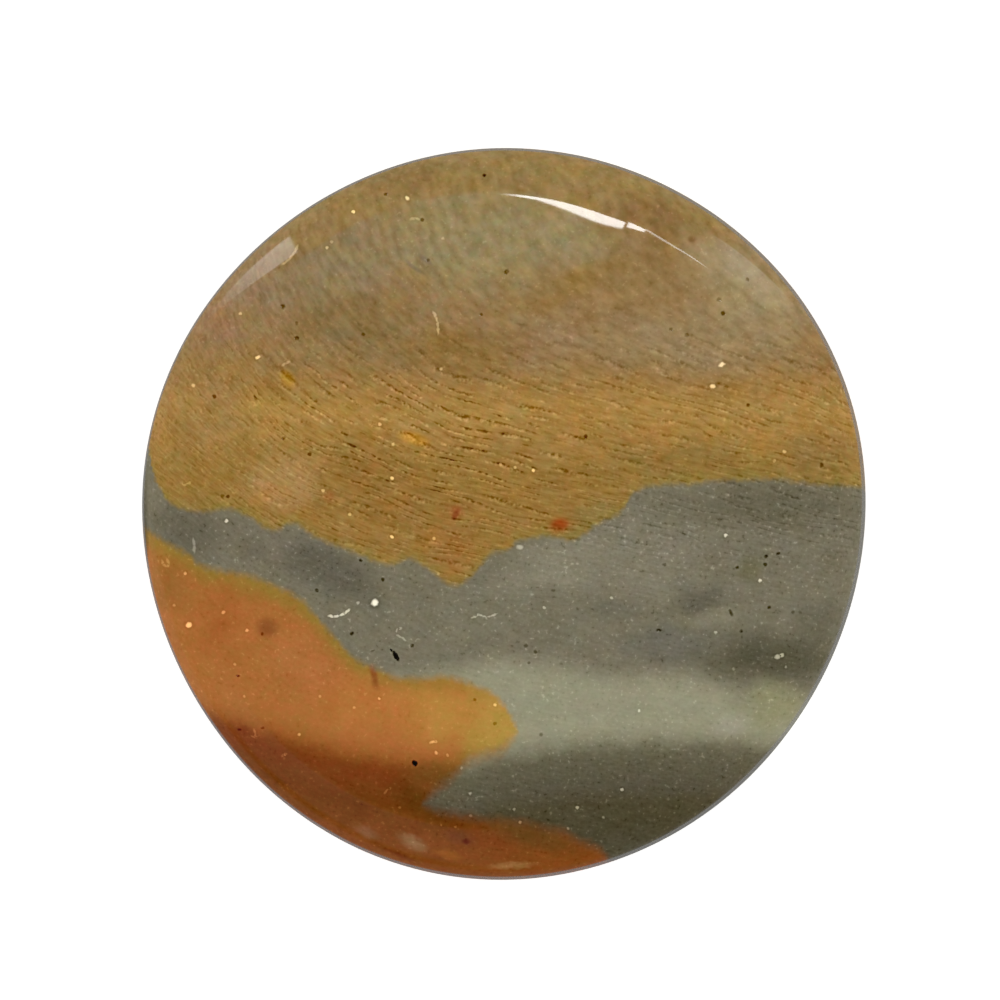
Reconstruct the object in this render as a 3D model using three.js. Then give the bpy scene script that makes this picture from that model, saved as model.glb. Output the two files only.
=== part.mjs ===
// A round jasper cabochon: one polished stone with a flat back, a small bevel round the back edge,
// a nearly upright wall, a rounded rim, a broad sloping shoulder and a low dome on top.
// Millimetres, +Z up. The stone lies on its flat back, and the origin is the middle of that back.
import * as THREE from "three";
import { mergeVertices } from "three/addons/utils/BufferGeometryUtils.js";

// Driving dimensions
const MEAN_RADIUS = 18; // of the outline at its widest, the girdle
const BACK_BEVEL_WIDTH = 0.5; // how far the bevel comes in from the girdle
const BACK_BEVEL_HEIGHT = 0.45;
const GIRDLE_HEIGHT = 0.25; // the upright band between the bevel and the wall
const WALL_HEIGHT = 2.0;
const WALL_LEAN = THREE.MathUtils.degToRad(6); // from the vertical
const RIM_RADIUS = 0.6; // of the tight arc from the wall to the shoulder
const SHOULDER_EDGE_SLOPE = THREE.MathUtils.degToRad(50); // of the shoulder where the rim ends
const SHOULDER_RADIUS = 3.5; // of the broad arc from the rim to the dome
const DOME_EDGE_SLOPE = THREE.MathUtils.degToRad(9); // of the dome where the shoulder ends

// The dome was ground a little off the middle of the outline, so the shoulder is narrower on one
// side than on the other.
const CROWN_SHIFT = new THREE.Vector2(-0.6, 0.2);

// The outline was cut and ground by hand too, so it isn't a true circle. Its radius gains these
// waves round the stone: how many lobes, then the cosine and sine heights.
const OUTLINE_WAVES = [
  { lobes: 2, cosine: -0.103, sine: 0.064 },
  { lobes: 3, cosine: -0.006, sine: 0.105 },
  { lobes: 4, cosine: 0.029, sine: -0.004 },
  { lobes: 5, cosine: -0.01, sine: 0.023 },
];

// Fineness of the facets
const ROUND_STEPS = 96;
const WALL_STEPS = 2;
const RIM_STEPS = 4;
const SHOULDER_STEPS = 6;
const DOME_STEPS = 8;

// Sizes that follow
const GIRDLE_TOP = BACK_BEVEL_HEIGHT + GIRDLE_HEIGHT;
const WALL_TOP = GIRDLE_TOP + WALL_HEIGHT;
const WALL_TOP_RADIUS = MEAN_RADIUS - WALL_HEIGHT * Math.tan(WALL_LEAN);
const WALL_SLOPE = Math.PI / 2 - WALL_LEAN;
const RIM_CENTRE = arcCentre(WALL_TOP_RADIUS, WALL_TOP, RIM_RADIUS, WALL_SLOPE);
const SHOULDER_EDGE = onArc(RIM_CENTRE, RIM_RADIUS, SHOULDER_EDGE_SLOPE);
const SHOULDER_CENTRE = arcCentre(
  SHOULDER_EDGE.x,
  SHOULDER_EDGE.y,
  SHOULDER_RADIUS,
  SHOULDER_EDGE_SLOPE,
);
const DOME_EDGE = onArc(SHOULDER_CENTRE, SHOULDER_RADIUS, DOME_EDGE_SLOPE);
const BALL_RADIUS = DOME_EDGE.x / Math.sin(DOME_EDGE_SLOPE); // the dome is a cap of this ball
const BALL_CENTRE = arcCentre(DOME_EDGE.x, DOME_EDGE.y, BALL_RADIUS, DOME_EDGE_SLOPE);

// The point of an arc where its surface has a slope, measured from the level.
function onArc(centre, radius, slope) {
  return new THREE.Vector2(
    centre.x + radius * Math.sin(slope),
    centre.y + radius * Math.cos(slope),
  );
}

// The centre of the arc that has a slope at a point given by its radius and height.
function arcCentre(x, y, radius, slope) {
  return new THREE.Vector2(x - radius * Math.sin(slope), y - radius * Math.cos(slope));
}

// Points along an arc, between two slopes of its surface.
function arcPoints(centre, radius, firstSlope, lastSlope, steps) {
  return Array.from({ length: steps + 1 }, (_, i) =>
    onArc(centre, radius, THREE.MathUtils.lerp(firstSlope, lastSlope, i / steps)),
  );
}

// The section from the middle of the back round to the top of the dome, as radius and height.
// LatheGeometry turns it about the Y axis, so it starts and ends on that axis.
function sectionProfile() {
  const girdle = new THREE.Vector2(MEAN_RADIUS, GIRDLE_TOP);
  const wallTop = new THREE.Vector2(WALL_TOP_RADIUS, WALL_TOP);
  const wall = Array.from({ length: WALL_STEPS }, (_, i) =>
    girdle.clone().lerp(wallTop, i / WALL_STEPS),
  );
  const rim = arcPoints(RIM_CENTRE, RIM_RADIUS, WALL_SLOPE, SHOULDER_EDGE_SLOPE, RIM_STEPS);
  const shoulder = arcPoints(
    SHOULDER_CENTRE,
    SHOULDER_RADIUS,
    SHOULDER_EDGE_SLOPE,
    DOME_EDGE_SLOPE,
    SHOULDER_STEPS,
  );
  const dome = arcPoints(BALL_CENTRE, BALL_RADIUS, DOME_EDGE_SLOPE, 0, DOME_STEPS);
  return [
    new THREE.Vector2(0, 0),
    new THREE.Vector2(MEAN_RADIUS - BACK_BEVEL_WIDTH, 0),
    new THREE.Vector2(MEAN_RADIUS, BACK_BEVEL_HEIGHT),
    ...wall,
    ...rim,
    ...shoulder.slice(1),
    ...dome.slice(1),
  ];
}

// How much wider or narrower than the mean circle the outline is at an angle from +X.
function outlineShare(angle) {
  const waves = OUTLINE_WAVES.map(
    (wave) => wave.cosine * Math.cos(wave.lobes * angle) + wave.sine * Math.sin(wave.lobes * angle),
  );
  return 1 + waves.reduce((sum, height) => sum + height, 0) / MEAN_RADIUS;
}

// How much of the crown's shift a point takes: nothing up to the girdle, all of it on the dome.
function crownShare(radius, height) {
  if (height < GIRDLE_TOP) return 0;
  return Math.min(1, (MEAN_RADIUS - radius) / (MEAN_RADIUS - DOME_EDGE.x));
}

// The turned section, stood upright, with every level drawn out to the hand-cut outline.
function cabochonGeometry() {
  const turned = new THREE.LatheGeometry(sectionProfile(), ROUND_STEPS);
  turned.rotateX(Math.PI / 2);
  turned.deleteAttribute("normal");
  turned.deleteAttribute("uv");
  const places = turned.getAttribute("position");
  for (let i = 0; i < places.count; i++) {
    const level = new THREE.Vector2(places.getX(i), places.getY(i));
    const shift = crownShare(level.length(), places.getZ(i));
    level.multiplyScalar(outlineShare(level.angle()));
    level.addScaledVector(CROWN_SHIFT, shift);
    places.setXY(i, level.x, level.y);
  }
  const stone = mergeVertices(turned, 1e-4);
  stone.computeBoundingBox();
  const middle = stone.boundingBox.getCenter(new THREE.Vector3());
  stone.translate(-middle.x, -middle.y, 0);
  stone.computeVertexNormals();
  return stone;
}

// Ochre, grey and orange jasper under one polish, given here by its average colour.
const polishedJasper = new THREE.MeshStandardMaterial({
  color: "#8a764b",
  roughness: 0.12,
  metalness: 0,
});

const cabochon = new THREE.Mesh(cabochonGeometry(), polishedJasper);
cabochon.name = "cabochon";

const stonePiece = new THREE.Group();
stonePiece.add(cabochon);

export default stonePiece;
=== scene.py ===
# A round polished jasper cabochon, seen straight from above on a pale light table.
from functools import partial

import bpy
import numpy as np
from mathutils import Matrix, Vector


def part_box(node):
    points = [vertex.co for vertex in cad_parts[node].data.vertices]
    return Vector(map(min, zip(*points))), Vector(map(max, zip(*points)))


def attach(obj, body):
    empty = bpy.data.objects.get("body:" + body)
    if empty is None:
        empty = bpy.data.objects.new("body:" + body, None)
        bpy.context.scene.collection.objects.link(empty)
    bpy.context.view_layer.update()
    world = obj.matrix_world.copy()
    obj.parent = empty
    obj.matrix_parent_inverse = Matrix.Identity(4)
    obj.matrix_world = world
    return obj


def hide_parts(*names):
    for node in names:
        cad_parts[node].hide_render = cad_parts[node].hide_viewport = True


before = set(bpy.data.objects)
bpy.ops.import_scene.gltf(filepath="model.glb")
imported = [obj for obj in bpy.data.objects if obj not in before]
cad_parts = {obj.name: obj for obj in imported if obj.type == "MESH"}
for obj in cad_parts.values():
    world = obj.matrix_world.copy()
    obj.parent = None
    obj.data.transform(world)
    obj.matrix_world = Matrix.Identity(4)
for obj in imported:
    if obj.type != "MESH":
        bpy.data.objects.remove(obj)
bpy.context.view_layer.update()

STONE_LOW, STONE_HIGH = (np.array(corner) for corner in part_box("cabochon"))
MM = 0.001

# The stone's form, in millimetres and degrees, as in its source
MEAN_RADIUS = 18.0
BACK_BEVEL_WIDTH = 0.5
BACK_BEVEL_HEIGHT = 0.45
GIRDLE_HEIGHT = 0.25
WALL_HEIGHT = 2.0
WALL_LEAN = 6.0
RIM_RADIUS = 0.6
SHOULDER_EDGE_SLOPE = 50.0
SHOULDER_RADIUS = 3.5
DOME_EDGE_SLOPE = 9.0
CROWN_SHIFT = (-0.6, 0.2)
OUTLINE_WAVES = ((2, -0.103, 0.064), (3, -0.006, 0.105), (4, 0.029, -0.004), (5, -0.01, 0.023))

# Edges that the source leaves sharp are eased by this much, as polishing does
EASED_EDGE = 0.12
# Hand polishing leaves the surface very slightly wavy: how long and how high the waves are
POLISH_WAVE_LENGTHS = (3.5, 9.0)
POLISH_WAVE_HEIGHT = 0.0006
POLISH_WAVES = 14
ROUND_STEPS = 720
# Lower than this is still the flat back
LEVEL = 0.001

# Studio, in metres
LIGHT_DISTANCE = 1.0
FLOOR_HALF = 1.5
FLOOR_GAP = 0.00002
FLOOR_GLOW = 0.5
FLOOR_COLOUR = "#f2f2f0"
TENT_STRENGTH = 0.9
# What the polish mirrors of the table: from and to which height of the mirrored direction, and
# how strong
MIRRORED_TABLE = (0.05, -0.15, 0.15)
TABLE_BESIDE = (-0.4, -0.95, 0.08)
SENSOR_WIDTH = 36.0
CAMERA_DISTANCE = 0.4
VIEW_WIDTH = 0.04955
VIEW_PLANE = 0.0007
VIEW_MIDDLE = (-0.000191, 0.00069)
# The light over the stone: its width and strength
OVERHEAD = (0.9, 1.8)
# What the polish mirrors of the tent: lit windows, each by the angle round the stone it is centred
# on; its upper and its lower edge, each as the angle from overhead there, how that leans and bows
# per degree round the stone, and how soft the edge is; the angles where the window starts, is full,
# is full last and has gone; and its strength
WINDOWS = {
    "lamp": (73, (19.3, 0, 0.0049, 0.1), (20.3, 0, 0.0035, 0.1), (65.3, 65.5, 85, 90), 16),
    "lamp_corner": (63, (20, -0.12, 0, 0.1), (21.2, -0.2, 0, 0.1), (61.3, 61.8, 64.7, 64.9), 16),
    "lamp_end": (57, (20.2, -0.1, 0.04, 0.4), (22.2, -0.1, 0.04, 0.4), (47.5, 50, 61.3, 61.8), 6),
    "left_window": (130, (43.5, 1.6, 0.11, 4), (94, 0.7, 0, 6), (127, 127.8, 128.5, 148), 3),
    "right_window": (50, (26, -0.8, 0, 40), (76, -0.9, 0, 3), (30, 46, 48.5, 54), 1.5),
    "low_window": (-115, (20.5, 0, 0, 4), (85, 0, 0, 10), (-155, -135, -105, -75), 0.15),
}

# Where the back's disc and the crown's disc lie on the unwrapped map, and how large they are
CROWN_MAP = ((0.375, 0.375), 0.37)
BACK_MAP = ((0.79, 0.79), 0.2)


# Form

def outline_share(angle):
    """How much wider than the mean circle the outline is: one plus a few waves round the stone."""
    waves = [c * np.cos(lobes * angle) + s * np.sin(lobes * angle) for lobes, c, s in OUTLINE_WAVES]
    return 1 + sum(waves) / MEAN_RADIUS


def on_arc(centre, radius, slope):
    """Points of an arc where its surface slopes by an angle: the centre plus the radius along it."""
    slope = np.radians(slope)
    return np.stack((centre[0] + radius * np.sin(slope), centre[1] + radius * np.cos(slope)), -1)


def arc_centre(point, radius, slope):
    """The centre of the arc that has a slope at a point: the point less the radius along it."""
    return point - on_arc(np.zeros(2), radius, slope)


def eased(before, corner, after, steps=5):
    """A corner rounded off: an arc that touches both edges, swept from one touching point to the
    other."""
    into = (before - corner) / np.linalg.norm(before - corner)
    out = (after - corner) / np.linalg.norm(after - corner)
    half = np.arccos(into @ out) / 2
    centre = corner + (into + out) / np.linalg.norm(into + out) * EASED_EDGE / np.sin(half)
    reach = EASED_EDGE / np.tan(half)
    first, last = (corner + way * reach - centre for way in (into, out))
    sweep = np.linspace(0, 1, steps)[:, None]
    chord = first * (1 - sweep) + last * sweep
    return centre + chord / np.linalg.norm(chord, axis=1)[:, None] * EASED_EDGE


def section():
    """The stone's section from beside the middle of the back to beside the top of the dome, as
    radius and height: straight stretches for back, bevel and wall, then arcs for rim, shoulder
    and dome, each starting with the slope that the one before it ends with."""
    girdle_top = BACK_BEVEL_HEIGHT + GIRDLE_HEIGHT
    lean = WALL_HEIGHT * np.tan(np.radians(WALL_LEAN))
    middle, back_edge, bevel_top, girdle, wall_top = np.array((
        (0, 0), (MEAN_RADIUS - BACK_BEVEL_WIDTH, 0), (MEAN_RADIUS, BACK_BEVEL_HEIGHT),
        (MEAN_RADIUS, girdle_top), (MEAN_RADIUS - lean, girdle_top + WALL_HEIGHT)))

    rim_centre = arc_centre(wall_top, RIM_RADIUS, 90 - WALL_LEAN)
    shoulder_edge = on_arc(rim_centre, RIM_RADIUS, SHOULDER_EDGE_SLOPE)
    shoulder_centre = arc_centre(shoulder_edge, SHOULDER_RADIUS, SHOULDER_EDGE_SLOPE)
    dome_edge = on_arc(shoulder_centre, SHOULDER_RADIUS, DOME_EDGE_SLOPE)
    ball_radius = dome_edge[0] / np.sin(np.radians(DOME_EDGE_SLOPE))
    ball_centre = arc_centre(dome_edge, ball_radius, DOME_EDGE_SLOPE)

    back = np.linspace(middle, back_edge, 16)[1:-1]
    bevel = np.vstack((eased(middle, back_edge, bevel_top), eased(back_edge, bevel_top, girdle)))
    wall = np.vstack((eased(bevel_top, girdle, wall_top), np.linspace(girdle, wall_top, 12)[2:]))
    rim = on_arc(rim_centre, RIM_RADIUS, np.linspace(90 - WALL_LEAN, SHOULDER_EDGE_SLOPE, 9)[1:])
    shoulder = np.linspace(SHOULDER_EDGE_SLOPE, DOME_EDGE_SLOPE, 25)[1:]
    shoulder = on_arc(shoulder_centre, SHOULDER_RADIUS, shoulder)
    dome = on_arc(ball_centre, ball_radius, np.linspace(DOME_EDGE_SLOPE, 0, 60)[1:-1])
    return np.vstack((back, bevel, wall, rim, shoulder, dome)), dome_edge[0], girdle_top


def polish_ripple(points):
    """The waviness of a hand-polished surface at each point: a sum of faint plane waves that run
    in random directions."""
    random = np.random.default_rng(4)
    ways = random.normal(size=(POLISH_WAVES, 3))
    ways /= np.linalg.norm(ways, axis=1)[:, None]
    lengths = random.uniform(*POLISH_WAVE_LENGTHS, POLISH_WAVES)
    phases = random.uniform(0, 2 * np.pi, POLISH_WAVES)
    turns = points @ (ways * 2 * np.pi / lengths[:, None]).T + phases
    return POLISH_WAVE_HEIGHT * np.sin(turns).sum(-1)


def make_stone():
    """The cabochon's surface: the section turned about the axis on a grid of rings and angles, with
    every ring drawn out to the hand-cut outline and moved with the crown as far as it lies up the
    slope, and the grid closed by a middle point at the back and one at the top."""
    profile, dome_edge, girdle_top = section()
    rings = len(profile)
    angle = np.linspace(0, 2 * np.pi, ROUND_STEPS, endpoint=False)
    radius, height = profile[:, :1], profile[:, 1:]
    share = np.clip((MEAN_RADIUS - radius) / (MEAN_RADIUS - dome_edge), 0, 1)
    share = np.where(height < girdle_top, 0, share)
    x = radius * outline_share(angle) * np.cos(angle) + CROWN_SHIFT[0] * share
    y = radius * outline_share(angle) * np.sin(angle) + CROWN_SHIFT[1] * share
    z = np.broadcast_to(height, x.shape)
    grid = np.stack((x, y, z), -1).reshape(-1, 3)

    # The waves stand across the surface, and fade out on the back, which was ground flat on a plate
    slope = np.gradient(profile, axis=0)
    slope = slope / np.linalg.norm(slope, axis=1)[:, None]
    outward = np.stack((slope[:, 1:] * np.cos(angle), slope[:, 1:] * np.sin(angle),
                        np.broadcast_to(-slope[:, :1], x.shape)), -1).reshape(-1, 3)
    fade = np.clip(grid[:, 2:] / girdle_top, 0, 1)
    grid = grid + outward * polish_ripple(grid)[:, None] * fade
    top = np.append(grid[-ROUND_STEPS:, :2].mean(0), grid[-ROUND_STEPS:, 2].max())
    points = np.vstack((grid, (0, 0, 0), top)) * MM

    # The finished stone fills the box of its solid exactly
    low, high = points.min(0), points.max(0)
    points = STONE_LOW + (points - low) * (STONE_HIGH - STONE_LOW) / (high - low)

    ring = np.arange(rings - 1)[:, None] * ROUND_STEPS
    step = np.arange(ROUND_STEPS)
    after = (step + 1) % ROUND_STEPS
    quads = np.stack((ring + step, ring + after, ring + ROUND_STEPS + after,
                      ring + ROUND_STEPS + step), -1).reshape(-1, 4)
    last = (rings - 1) * ROUND_STEPS
    back_middle, top_middle = rings * ROUND_STEPS, rings * ROUND_STEPS + 1
    back_fan = np.stack((np.full(ROUND_STEPS, back_middle), after, step), -1)
    top_fan = np.stack((np.full(ROUND_STEPS, top_middle), last + step, last + after), -1)

    mesh = bpy.data.meshes.new("polished_cabochon")
    mesh.from_pydata(points, [], quads.tolist() + back_fan.tolist() + top_fan.tolist())
    mesh.polygons.foreach_set("use_smooth", np.ones(len(mesh.polygons), bool))
    unwrap(mesh, profile, rings)
    place_marks(mesh)
    mesh.update()
    stone = bpy.data.objects.new("polished_cabochon", mesh)
    bpy.context.collection.objects.link(stone)
    return stone


def unwrap(mesh, profile, rings):
    """Lays the stone out flat as two discs, crown with wall and back: a point's distance from its
    disc's middle is its distance along the section from the top, or from the middle of the back."""
    step = np.linalg.norm(np.diff(profile, axis=0, prepend=[[0, 0]]), axis=1)
    from_back = np.append(np.cumsum(step), [0, np.sum(step) + profile[-1, 0]])
    from_top = from_back[-1] - from_back
    back_rings = np.argmax(profile[:, 1] > LEVEL)
    corner = np.empty(len(mesh.loops), int)
    mesh.loops.foreach_get("vertex_index", corner)
    ring = np.minimum(corner // ROUND_STEPS, rings) + (corner == rings * ROUND_STEPS + 1)
    angle = 2 * np.pi * (corner % ROUND_STEPS) / ROUND_STEPS

    sizes = np.empty(len(mesh.polygons), int)
    mesh.polygons.foreach_get("loop_total", sizes)
    starts = np.cumsum(sizes) - sizes
    # A face belongs to the back where its outer ring does
    outer = np.maximum.reduceat(np.where(ring == rings, 0, ring), starts)
    on_back = np.repeat(outer < back_rings, sizes)
    back_reach, crown_reach = from_back[back_rings - 1], from_top[back_rings - 1]
    (crown_x, crown_y), crown_size = CROWN_MAP
    (back_x, back_y), back_size = BACK_MAP
    crown_r = crown_size * from_top[ring] / crown_reach
    back_r = back_size * from_back[ring] / back_reach
    u = np.where(on_back, back_x - back_r * np.cos(angle), crown_x + crown_r * np.cos(angle))
    v = np.where(on_back, back_y + back_r * np.sin(angle), crown_y + crown_r * np.sin(angle))
    layer = mesh.uv_layers.new(name="OFBake")
    layer.uv.foreach_set("vector", np.stack((u, v), -1).astype(np.float32).ravel())


def full_mark(x, y, half_long=None, half_wide=None, turn=0):
    """A small mark's middle, half length, half width and turn, whatever is given of them."""
    half_long = half_long or USUAL_MARK
    return x, y, half_long, half_wide or half_long, turn


def place_marks(mesh):
    """Tells each face of the crown which small mark lies nearest to it: the mark's middle and how
    light or dark it is, and its long and wide ways, each divided by half the mark's size. A mark's
    reach at a face is the length of the face's offset from the middle, along those two ways.
    A fibre is a chain of long marks, one for each of its straight stretches."""
    kinds = ((DEEP_PITS, DEEP_PIT), (PITS, PIT), (FAINT_PITS, FAINT_PIT), (DUST, LIT_DUST),
             (FAINT_SPECKS, FAINT_SPECK), (SPECKS, SPECK), (BRIGHT_SPECKS, BRIGHT_SPECK))
    rows = [(*full_mark(*mark), lightness) for marks, lightness in kinds for mark in marks]
    # The painted highlight on the dome's edge is laid as a chain, like a fibre
    for lightness, half_wide, path in FIBRES_AND_EDGE_HIGHLIGHT:
        start, end = np.array(path[:-1]), np.array(path[1:])
        half_long = np.linalg.norm(end - start, axis=1) * FIBRE_OVERLAP
        turns = np.degrees(np.arctan2(*(end - start).T[::-1]))
        rows += [(*middle, long, half_wide, turn, lightness)
                 for middle, long, turn in zip((start + end) / 2, half_long, turns)]
    x, y, half_long, half_wide, turn, lightness = np.array(rows).T
    middles = np.stack((x, y, lightness), -1)
    cos, sin, flat = np.cos(np.radians(turn)), np.sin(np.radians(turn)), np.zeros_like(x)
    long_ways = np.stack((cos, sin, flat), -1) / half_long[:, None]
    wide_ways = np.stack((-sin, cos, flat), -1) / half_wide[:, None]

    centres = np.empty(3 * len(mesh.polygons), np.float32)
    mesh.polygons.foreach_get("center", centres)
    centres = centres.reshape(-1, 3) / MM
    long_reach = centres @ long_ways.T - (middles * long_ways).sum(1)
    wide_reach = centres @ wide_ways.T - (middles * wide_ways).sum(1)
    nearest = np.argmin(long_reach ** 2 + wide_reach ** 2, axis=1)
    # Off the crown the middle is moved out of reach
    away = np.where(centres[:, 2:] < MARKS_END, FAR_AWAY, 0)
    for name, values in (("mark_middle", middles[nearest] + away), ("mark_long", long_ways[nearest]),
                         ("mark_wide", wide_ways[nearest])):
        layer = mesh.attributes.new(name, "FLOAT_VECTOR", "FACE")
        layer.data.foreach_set("vector", values.astype(np.float32).ravel())


# Material

def linear(hex_colour):
    """An sRGB hex colour as linear red, green, blue and alpha."""
    channels = np.array([int(hex_colour[i:i + 2], 16) for i in (1, 3, 5)]) / 255
    low, high = channels / 12.92, ((channels + 0.055) / 1.055) ** 2.4
    return (*np.where(channels <= 0.04045, low, high), 1.0)


def add_node(tree, kind, feeds=(), out=0, **settings):
    """Adds a shader node, sets it up, feeds its sockets with values or links, and returns one of
    its outputs. The kind can name an operation after a space. A tuple feeds the first sockets."""
    kind, *operation = kind.split()
    if operation:
        settings["operation"] = operation[0]
    node = tree.nodes.new("ShaderNode" + kind)
    for name, value in settings.items():
        setattr(node, name, value)
    feeds = feeds if isinstance(feeds, dict) else dict(enumerate(feeds))
    for socket, value in feeds.items():
        if isinstance(value, bpy.types.NodeSocket):
            tree.links.new(value, node.inputs[socket])
        else:
            node.inputs[socket].default_value = value
    return None if out is None else node.outputs[out]


# The two seams between the stone's layers, and the edges of the orange layer's tongue, in
# millimetres from the stone's middle, from left to right
OCHRE_EDGE = (
    (-18, 4), (-17.5, 3.3), (-17.25, 2), (-16.95, 1.3), (-16.5, 0.6), (-15.4, 0.15), (-14.5, 0.1),
    (-13.7, 0.25), (-12.4, -0.2), (-11.4, -0.85), (-10.3, -0.5), (-9.5, -1), (-7.5, -1.85),
    (-5.5, -2.5), (-4.6, -2.2), (-3.6, -2.8), (-2.4, -3.5), (-1.6, -3.1), (-0.65, -2), (0.35, -1.65),
    (0.6, -1.35), (1.3, -1.2), (2.05, -1.1), (2.8, -1.25), (3.4, -1.3), (3.8, -1.1), (4.25, -0.75),
    (4.75, -0.45), (5.35, -0.15), (5.75, 0.1), (6.3, 0.95), (7, 1.3), (9.2, 1.45), (10.3, 1.6),
    (12, 1.65), (13.3, 1.7), (14.7, 1.5), (18, 1.35),
)
ORANGE_TOP = (
    (-18, -0.5), (-17.3, -0.95), (-16.7, -1.3), (-16.1, -1.6), (-15.5, -1.95), (-14.9, -2.45),
    (-13.7, -2.75), (-12.4, -3), (-11.5, -3.35), (-10.6, -3.75), (-10, -4.1), (-9.5, -4.6),
    (-8.9, -5.35), (-8.2, -6.1), (-7.4, -6.95), (-6.8, -7.3), (-6.1, -7.6), (-5.3, -7.95),
    (-4.6, -8), (-3.6, -7.95), (-2.9, -7.9), (-2.1, -8.1), (-1.4, -8.4), (-0.7, -8.65),
    (-0.2, -9.05), (0.3, -9.8), (0.7, -10.5), (1.3, -12.1), (2.8, -15.5), (18, -18),
)
TONGUE_UNDERSIDE = (
    (-18, -18), (-4.9, -17.4), (-4.2, -15.2), (-3.9, -14.3), (-3.3, -13.6), (-2.6, -13.1),
    (-2.2, -12.7), (-1.9, -12.3), (-1.5, -12.1), (-0.9, -11.9), (-0.2, -11.7), (0.2, -11.4),
    (0.7, -10.7), (1.3, -9.2), (2.8, -6.7), (18, -5.2),
)
LOWER_ORANGE_TOP = (
    (-18, -10), (-5, -13), (-4.2, -14), (-3.5, -14.5), (-2.7, -14.7), (-2, -14.85), (-1.05, -15),
    (0.1, -15.1), (1.35, -15.25), (2.1, -15.5), (2.9, -15.65), (3.6, -16.05), (4.35, -16.35),
    (4.85, -16.65), (5.2, -17.1), (6.5, -18), (18, -18),
)
# The light band, and the dark band of painted shade that darkens the grey and the orange alike
LIGHT_BAND_TOP = (
    (-18, -10.6), (-10, -8.8), (-8, -8.6), (-6.1, -8.3), (-3.6, -7.8), (-2.4, -7.55), (-1.1, -7.35),
    (0, -7.2), (1.2, -7.35), (2.4, -7.5), (3.6, -7.65), (4.7, -7.95), (5.9, -8.05), (7.1, -8),
    (8.3, -7.95), (9.5, -8.1), (10.6, -8.5), (11.8, -8.95), (13, -9.25), (18, -8.9),
)
PAINTED_SHADE_TOP = (
    (-18, -8.9), (-14.9, -9.65), (-12.9, -10.1), (-11, -10.65), (-9, -11.3), (-7, -11.7),
    (-5.1, -12), (-3.1, -12.3), (-1.6, -12.2), (-0.2, -11.75), (1.2, -11.6), (2.4, -11.4),
    (4.7, -11.2), (9.5, -11.1), (11.8, -11.2), (13.6, -11.4), (18, -11.6),
)
HALF_SPAN = 18.0
# How far the grains push the edges of the layers about, and their noise scale
FRET = 0.28
FRET_SCALE = 3.0
# How far each edge fades, from below its line to above it, in millimetres
OCHRE_FADE = (-0.2, 0.25)
ORANGE_TOP_FADE = (-0.25, 0.35)
UNDERSIDE_FADE = (-0.55, 0.65)
LOWER_ORANGE_FADE = (-0.5, 0.45)
LIGHT_BAND_FADE = (-0.9, 0.9)
PAINTED_SHADE_FADE = (-0.85, 0.75)
# How far from their edges the ochre's tint and the orange's yellow reach
TINT_FADE = (0.9, 0.0, 0.6)
YELLOW_FADE = (0.2, 1.5)
# The slow waves in the layers' colours: noise scale, reach in millimetres and detail
WAVED = (0.3, 1.6, 2.0)
CROWN_HEIGHT = float(STONE_HIGH[2] / MM)
# How deep the patches reach below the crown, the painted shade on the left edge deepest, and their
# full core
PATTERN_DEPTH = 5.2
EDGE_SHADE_DEPTH = 6.0
PATCH_CORE = 0.25
# Over these heights the patches of the dome come in
DOME_EDGE_HEIGHTS = (4.2, 4.26)
# How light or dark the small marks are, from open pits to dust; the height below which there are
# none, and a place far from any
DEEP_PIT, PIT, FAINT_PIT = -1.0, -0.45, -0.3
FAINT_SPECK, SPECK, BRIGHT_SPECK, LIT_DUST = 0.45, 0.85, 1.7, 3.0
MARKS_END = 3.4
FAR_AWAY = 100.0
# Half the length of a fibre's long mark, as a share of its stretch, so that they overlap
FIBRE_OVERLAP = 0.75
# How the grains chip a mark's edge (noise scale, reach and detail), and where the mark and the
# ring round it fade, in reaches of the mark
CHIPS = (7.0, 0.08, 0.0)
MARK_FADE = (1.3, 0.45)
RING_FADE = (2.4, 1.3)
# Below this height the layers drift, by up to this much at the back
DRIFT_START = 4.4
DRIFT = 5.0
DRIFT_SCALE = 0.12

# The ochre layer's colour from the seam up to the top rim, by height on the stone
OCHRE_BANDS = (
    (-3, "#98733a"), (0.2, "#98743a"), (2.2, "#987539"), (3.4, "#9f7a3f"), (5, "#a98345"),
    (6.2, "#9f7a42"), (7.4, "#957648"), (9.5, "#95784e"), (12, "#95784b"), (15, "#967b4a"),
)
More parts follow.
